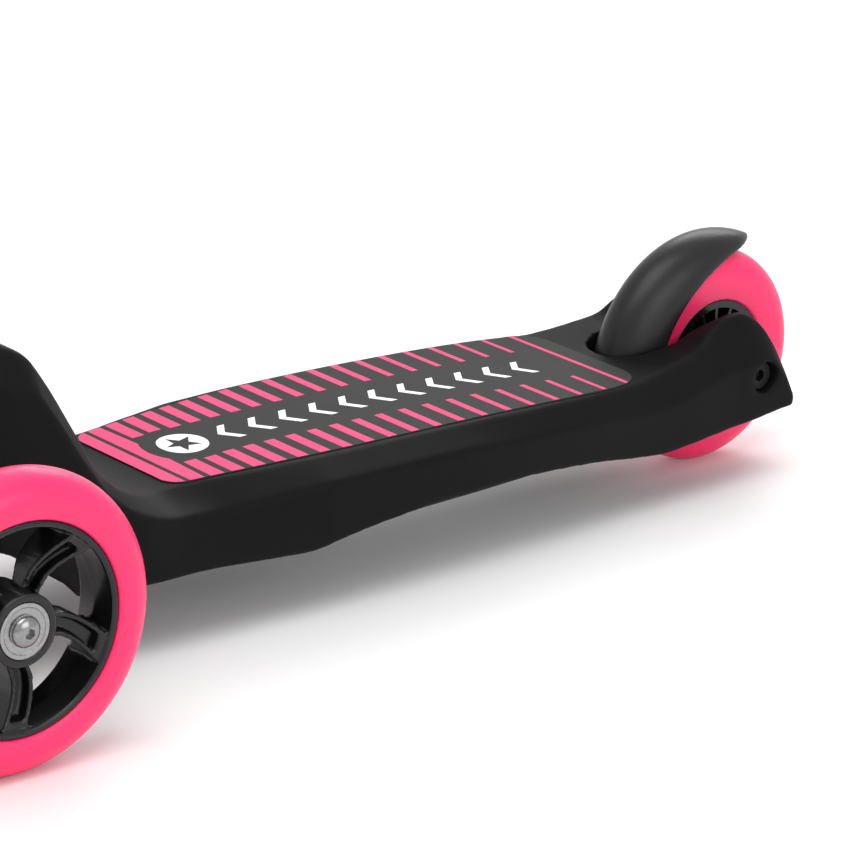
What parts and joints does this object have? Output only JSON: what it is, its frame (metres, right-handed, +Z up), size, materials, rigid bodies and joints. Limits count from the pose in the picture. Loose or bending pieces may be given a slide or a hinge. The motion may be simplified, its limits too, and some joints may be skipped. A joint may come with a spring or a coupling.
{
  "type": "kick scooter",
  "caption": "Small child's three-wheeled kick scooter: a low moulded deck, a sprung lean-to-steer front truck, a press fender brake and a telescoping T-bar.",
  "frame": {"origin": "on the ground, under the middle of the scooter's outline", "axes": "+Z up, -Y forward, +X to the rider's left"},
  "size_m": [0.2606, 0.57, 0.7095],
  "materials": {
    "deck_plastic": "fine moulded texture, black",
    "cover_plastic": "fine moulded texture, black",
    "grip_film": "printed film, dark grey with pink bars",
    "fender_plastic": "moulded, soft sheen, black",
    "tyre_pu": "cast polyurethane, pink",
    "hub_plastic": "moulded, glossy black",
    "bearing_steel": "ground steel",
    "zinc_steel": "zinc plated",
    "tube_aluminium": "satin anodised",
    "joint_plastic": "moulded, black",
    "bush_plastic": "smooth, black",
    "grip_rubber": "soft ribbed rubber, pink",
    "elastomer": "cast urethane, cream"
  },
  "bodies": {
    "frame": {"deck_shell": "deck_plastic", "deck_cover": "cover_plastic", "cover_screws": "zinc_steel", "grip_sheet": "grip_film", "stem_socket": "zinc_steel", "kingpin": "zinc_steel", "kingpin_washer": "zinc_steel", "kingpin_nut": "zinc_steel", "rear_axle_bolt": "zinc_steel", "rear_axle_nut": "zinc_steel", "rear_spacers": "zinc_steel", "fender_pin": "zinc_steel", "lower_tube": "tube_aluminium", "guide_bush": "bush_plastic", "clamp_collar": "joint_plastic", "clamp_bolt": "zinc_steel", "clamp_nut": "zinc_steel", "lever_pin": "zinc_steel"},
    "truck": {"truck_beam": "joint_plastic", "truck_bushings": "elastomer", "axle_washers": "zinc_steel", "front_left_bolt": "zinc_steel", "front_right_bolt": "zinc_steel", "front_left_sleeve": "zinc_steel", "front_right_sleeve": "zinc_steel"},
    "front_left_wheel": {"front_left_tyre": "tyre_pu", "front_left_hub": "hub_plastic", "front_left_bearings": "bearing_steel"},
    "front_right_wheel": {"front_right_tyre": "tyre_pu", "front_right_hub": "hub_plastic", "front_right_bearings": "bearing_steel"},
    "rear_wheel": {"rear_tyre": "tyre_pu", "rear_core": "hub_plastic", "rear_bearings": "bearing_steel"},
    "fender": {"fender": "fender_plastic", "fender_spring": "zinc_steel", "brake_pad": "zinc_steel", "pad_screws": "zinc_steel"},
    "lever": {"clamp_lever": "joint_plastic"},
    "button": {"release_button": "zinc_steel", "release_spring": "zinc_steel"},
    "bar": {"upper_tube": "tube_aluminium", "t_joint": "joint_plastic", "t_joint_screw": "zinc_steel", "handlebar": "tube_aluminium", "left_grip": "grip_rubber", "right_grip": "grip_rubber", "left_end_cap": "joint_plastic", "right_end_cap": "joint_plastic"}
  },
  "joints": [
    {"name": "truck_steer", "type": "hinge", "parent": "frame", "child": "truck", "pos_m": [0, -0.225, 0.06], "axis": [0, -0.6428, 0.766], "range_deg": [-12, 12], "stiffness_Nm_per_rad": 40},
    {"name": "front_left_spin", "type": "hinge", "parent": "truck", "child": "front_left_wheel", "pos_m": [0.116, -0.225, 0.06], "axis": [1, 0, 0], "continuous": true},
    {"name": "front_right_spin", "type": "hinge", "parent": "truck", "child": "front_right_wheel", "pos_m": [-0.116, -0.225, 0.06], "axis": [1, 0, 0], "continuous": true},
    {"name": "rear_spin", "type": "hinge", "parent": "frame", "child": "rear_wheel", "pos_m": [0, 0.235, 0.05], "axis": [1, 0, 0], "continuous": true},
    {"name": "fender_press", "type": "hinge", "parent": "frame", "child": "fender", "pos_m": [0, 0.175, 0.052], "axis": [-1, 0, 0], "range_deg": [0, 2.2], "stiffness_Nm_per_rad": 2, "springref_deg": -11.46},
    {"name": "bar_height", "type": "slide", "parent": "frame", "child": "bar", "axis": [0, 0.1392, 0.9903], "range_m": [-0.09, 0.1]},
    {"name": "lever_swing", "type": "hinge", "parent": "frame", "child": "lever", "pos_m": [0.0165, -0.20467, 0.43889], "axis": [0, -0.1392, -0.9903], "range_deg": [0, 150]},
    {"name": "button_press", "type": "slide", "parent": "frame", "child": "button", "axis": [0, 0.9903, -0.1392], "range_m": [0, 0.0035], "stiffness_N_per_m": 400, "springref_m": -0.01}
  ]
}
